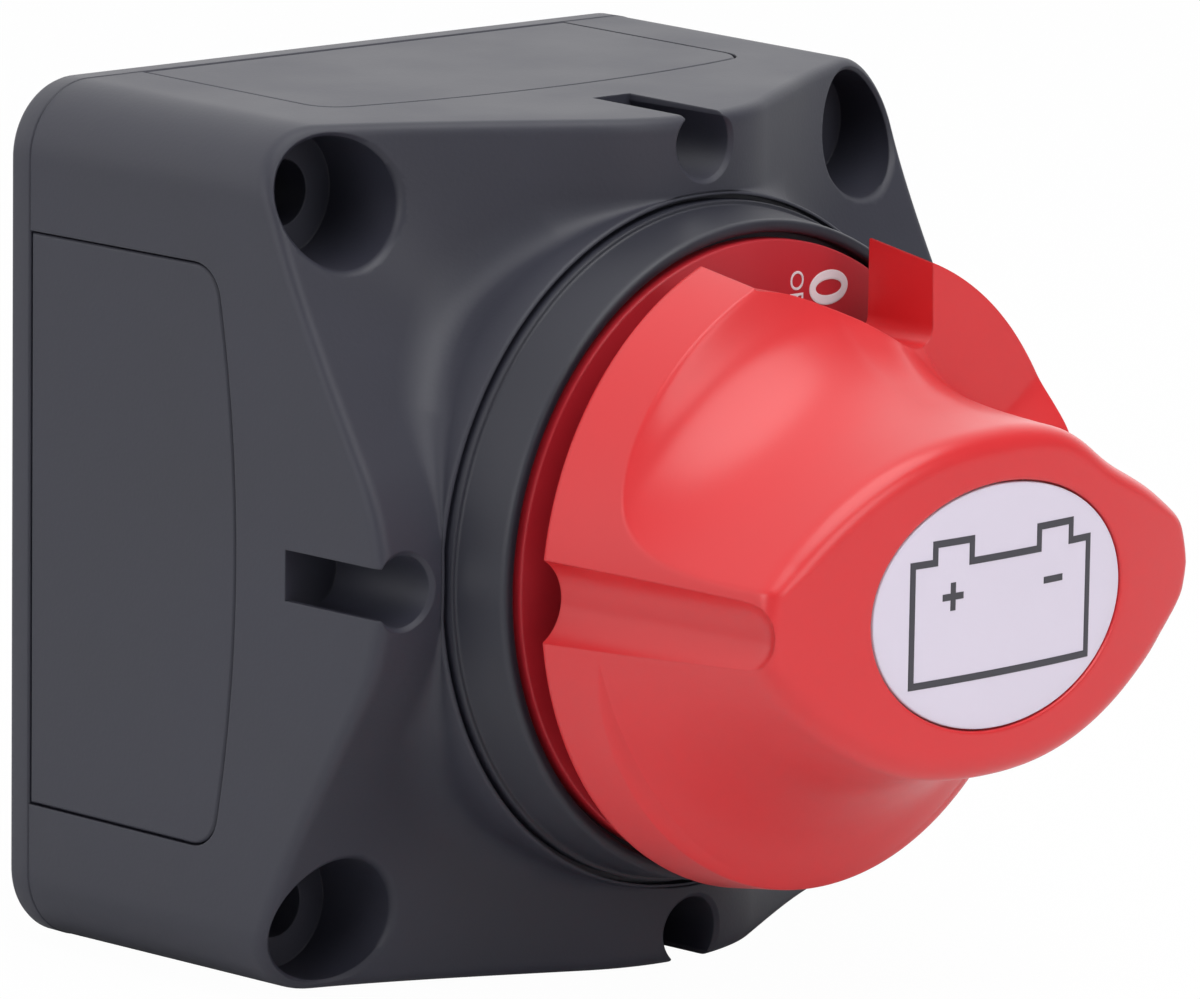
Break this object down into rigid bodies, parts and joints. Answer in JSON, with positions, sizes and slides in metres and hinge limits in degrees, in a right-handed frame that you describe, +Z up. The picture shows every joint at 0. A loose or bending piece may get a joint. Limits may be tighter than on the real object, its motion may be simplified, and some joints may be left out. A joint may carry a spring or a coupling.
{
  "type": "battery disconnect switch",
  "caption": "Square black surface-mounted battery disconnect switch with sloping front, side cable entries and a red quarter-turn knob with finger hollows.",
  "frame": {"origin": "centre of the back mounting face, on the knob's axis and at the centre of the screw pattern", "axes": "+Y out of the back into the panel behind, the front and knob face -Y, +Z up, +X to the right seen from the front"},
  "size_m": [0.069, 0.075, 0.069],
  "materials": {
    "black_moulding": "fine satin moulded black thermoplastic",
    "disc_red": "satin red moulded disc with white position marks",
    "knob_red": "semi-gloss red moulded plastic",
    "label_white": "pale printed plastic plate",
    "insulator": "glass-filled insulating moulding",
    "seal_rubber": "black rubber ring",
    "tinned_brass": "tinned brass stud",
    "copper": "bare copper bar",
    "zinc_steel": "zinc plated steel"
  },
  "bodies": {
    "case": {"case_housing": "black_moulding", "back_cover": "black_moulding", "entry_panel_left": "black_moulding", "entry_panel_top": "black_moulding", "entry_panel_right": "black_moulding", "entry_panel_bottom": "black_moulding", "collar_ring": "black_moulding", "position_disc": "disc_red", "shaft_seal": "seal_rubber", "contact_base": "insulator", "base_screws": "zinc_steel", "detent_balls": "zinc_steel", "detent_springs": "zinc_steel", "terminal_stud_left": "tinned_brass", "terminal_stud_right": "tinned_brass", "flat_washer_left": "zinc_steel", "flat_washer_right": "zinc_steel", "spring_washer_left": "zinc_steel", "spring_washer_right": "zinc_steel", "stud_nut_left": "zinc_steel", "stud_nut_right": "zinc_steel"},
    "knob_and_rotor": {"rotor_shaft": "insulator", "contact_bridge": "copper", "contact_spring": "zinc_steel", "retaining_clip": "zinc_steel", "knob": "knob_red", "label_plate": "label_white", "knob_screw": "zinc_steel"}
  },
  "joints": [
    {"name": "knob_turn", "type": "hinge", "parent": "case", "child": "knob_and_rotor", "pos_m": [0, -0.05, 0], "axis": [0, 1, 0], "range_deg": [0, 90]}
  ]
}
